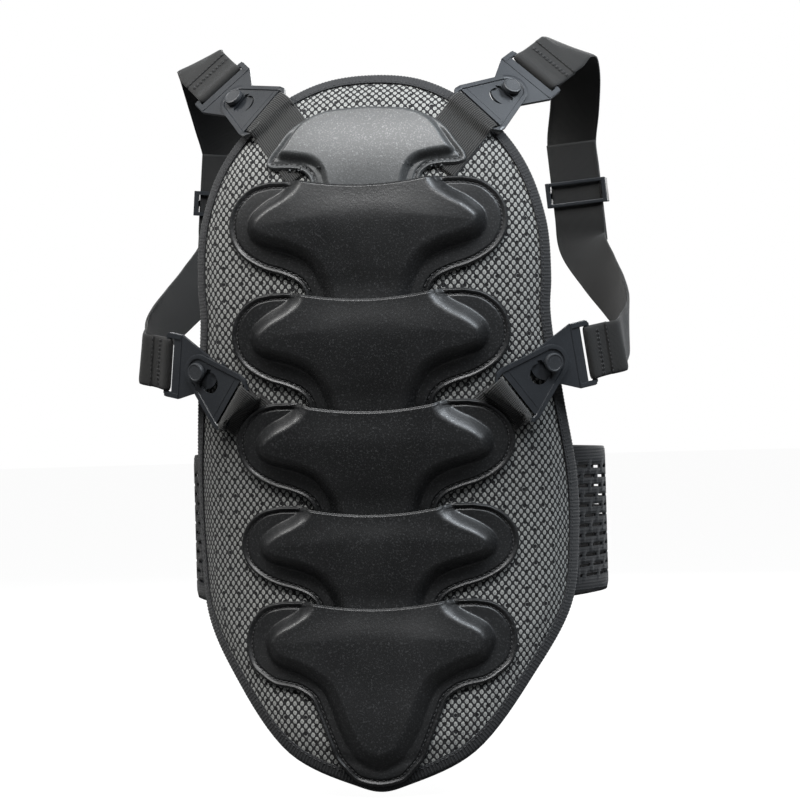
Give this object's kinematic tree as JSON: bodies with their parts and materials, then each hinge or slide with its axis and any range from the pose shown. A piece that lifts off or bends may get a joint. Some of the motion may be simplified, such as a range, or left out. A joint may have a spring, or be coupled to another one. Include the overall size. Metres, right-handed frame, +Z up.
{
  "type": "back protector",
  "caption": "Mesh back panel with overlapping moulded spine plates, keyhole buckles, shoulder straps and a waist belt, shown as worn.",
  "frame": {"origin": "centre of the lining's flat inner face, against the wearer's spine", "axes": "+Z up the spine, +Y into the wearer (the outer face looks to -Y), +X to the wearer's right"},
  "size_m": [0.3786, 0.2644, 0.5744],
  "materials": {
    "mesh_fabric": "pale perforated fabric under a black diamond net",
    "lining": "black warp-knit lining",
    "foam": "closed-cell impact foam, dark grey",
    "binding": "black ribbed binding tape",
    "moulded_plate": "black moulded foam with a fine-grained satin skin",
    "buckle_plastic": "satin black acetal",
    "webbing": "black woven elastic webbing",
    "belt_cloth": "black ribbed elastic with vent slits",
    "hook_and_loop": "black hook and loop tape"
  },
  "bodies": {
    "root": {"back_lining": "lining", "foam_core": "foam", "mesh_cover": "mesh_fabric", "edge_binding": "binding", "neck_plate": "moulded_plate", "neck_plate_foam": "foam", "spine_plate_1": "moulded_plate", "spine_plate_foam_1": "foam", "spine_plate_2": "moulded_plate", "spine_plate_foam_2": "foam", "spine_plate_3": "moulded_plate", "spine_plate_foam_3": "foam", "spine_plate_4": "moulded_plate", "spine_plate_foam_4": "foam", "spine_plate_5": "moulded_plate", "spine_plate_foam_5": "foam", "keyhole_plate_shoulder_left": "buckle_plastic", "anchor_webbing_shoulder_left": "webbing", "keyhole_plate_side_left": "buckle_plastic", "anchor_webbing_side_left": "webbing", "keyhole_plate_shoulder_right": "buckle_plastic", "anchor_webbing_shoulder_right": "webbing", "keyhole_plate_side_right": "buckle_plastic", "anchor_webbing_side_right": "webbing", "shoulder_strap_upper_left": "webbing", "shoulder_strap_lower_left": "webbing", "shoulder_strap_upper_right": "webbing", "shoulder_strap_lower_right": "webbing", "belt_root_right": "belt_cloth", "belt_root_left": "belt_cloth"},
    "stud_shoulder_left": {"stud_shoulder_left": "buckle_plastic"},
    "strap_end_shoulder_left": {"stud_plate_shoulder_left": "buckle_plastic", "strap_end_shoulder_left": "webbing"},
    "stud_side_left": {"stud_side_left": "buckle_plastic"},
    "strap_end_side_left": {"stud_plate_side_left": "buckle_plastic", "strap_end_side_left": "webbing"},
    "stud_shoulder_right": {"stud_shoulder_right": "buckle_plastic"},
    "strap_end_shoulder_right": {"stud_plate_shoulder_right": "buckle_plastic", "strap_end_shoulder_right": "webbing"},
    "stud_side_right": {"stud_side_right": "buckle_plastic"},
    "strap_end_side_right": {"stud_plate_side_right": "buckle_plastic", "strap_end_side_right": "webbing"},
    "strap_slider_left": {"strap_slider_left": "buckle_plastic"},
    "strap_slider_right": {"strap_slider_right": "buckle_plastic"},
    "belt_wing_right": {"belt_wing_right": "belt_cloth", "loop_patch": "hook_and_loop"},
    "belt_wing_left": {"belt_wing_left": "belt_cloth"},
    "belt_tab": {"belt_tab": "belt_cloth", "hook_patch": "hook_and_loop"}
  },
  "joints": [
    {"name": "release_shoulder_left", "type": "slide", "parent": "root", "child": "stud_shoulder_left", "axis": [0.6741, -0.6564, -0.3386], "range_m": [0, 0.013], "stiffness_N_per_m": 250, "springref_m": -0.012},
    {"name": "swivel_shoulder_left", "type": "hinge", "parent": "stud_shoulder_left", "child": "strap_end_shoulder_left", "pos_m": [-0.1038, 0.049, 0.14], "axis": [-0.3999, -0.7098, 0.5799], "range_deg": [-20, 20], "stiffness_Nm_per_rad": 0.06},
    {"name": "release_side_left", "type": "slide", "parent": "root", "child": "stud_side_left", "axis": [0.6827, -0.3286, -0.6526], "range_m": [0, 0.013], "stiffness_N_per_m": 250, "springref_m": -0.012},
    {"name": "swivel_side_left", "type": "hinge", "parent": "stud_side_left", "child": "strap_end_side_left", "pos_m": [-0.1316, 0.02, -0.0647], "axis": [-0.5006, -0.861, -0.0901], "range_deg": [-20, 20], "stiffness_Nm_per_rad": 0.06},
    {"name": "release_shoulder_right", "type": "slide", "parent": "root", "child": "stud_shoulder_right", "axis": [-0.5806, -0.6857, -0.439], "range_m": [0, 0.013], "stiffness_N_per_m": 250, "springref_m": -0.012},
    {"name": "swivel_shoulder_right", "type": "hinge", "parent": "stud_shoulder_right", "child": "strap_end_shoulder_right", "pos_m": [0.1038, 0.049, 0.14], "axis": [0.3999, -0.7098, 0.5799], "range_deg": [-20, 20], "stiffness_Nm_per_rad": 0.06},
    {"name": "release_side_right", "type": "slide", "parent": "root", "child": "stud_side_right", "axis": [-0.6827, -0.3286, -0.6526], "range_m": [0, 0.013], "stiffness_N_per_m": 250, "springref_m": -0.012},
    {"name": "swivel_side_right", "type": "hinge", "parent": "stud_side_right", "child": "strap_end_side_right", "pos_m": [0.1316, 0.02, -0.0647], "axis": [0.5006, -0.861, -0.0901], "range_deg": [-20, 20], "stiffness_Nm_per_rad": 0.06},
    {"name": "adjust_left", "type": "slide", "parent": "root", "child": "strap_slider_left", "axis": [0.0871, -0.0497, 0.995], "range_m": [-0.02, 0.02]},
    {"name": "adjust_right", "type": "slide", "parent": "root", "child": "strap_slider_right", "axis": [-0.0871, -0.0497, 0.995], "range_m": [-0.02, 0.02]},
    {"name": "fold_wing_right", "type": "hinge", "parent": "root", "child": "belt_wing_right", "pos_m": [0.13874, 0.08262, -0.1865], "axis": [0, 0, 1], "range_deg": [0, 40]},
    {"name": "open_wing_left", "type": "hinge", "parent": "root", "child": "belt_wing_left", "pos_m": [-0.14095, 0.08106, -0.1865], "axis": [0, 0, 1], "range_deg": [0, 50]},
    {"name": "open_tab", "type": "hinge", "parent": "belt_wing_left", "child": "belt_tab", "pos_m": [-0.03848, 0.23724, -0.1865], "axis": [0, 0, 1], "range_deg": [0, 100]}
  ]
}
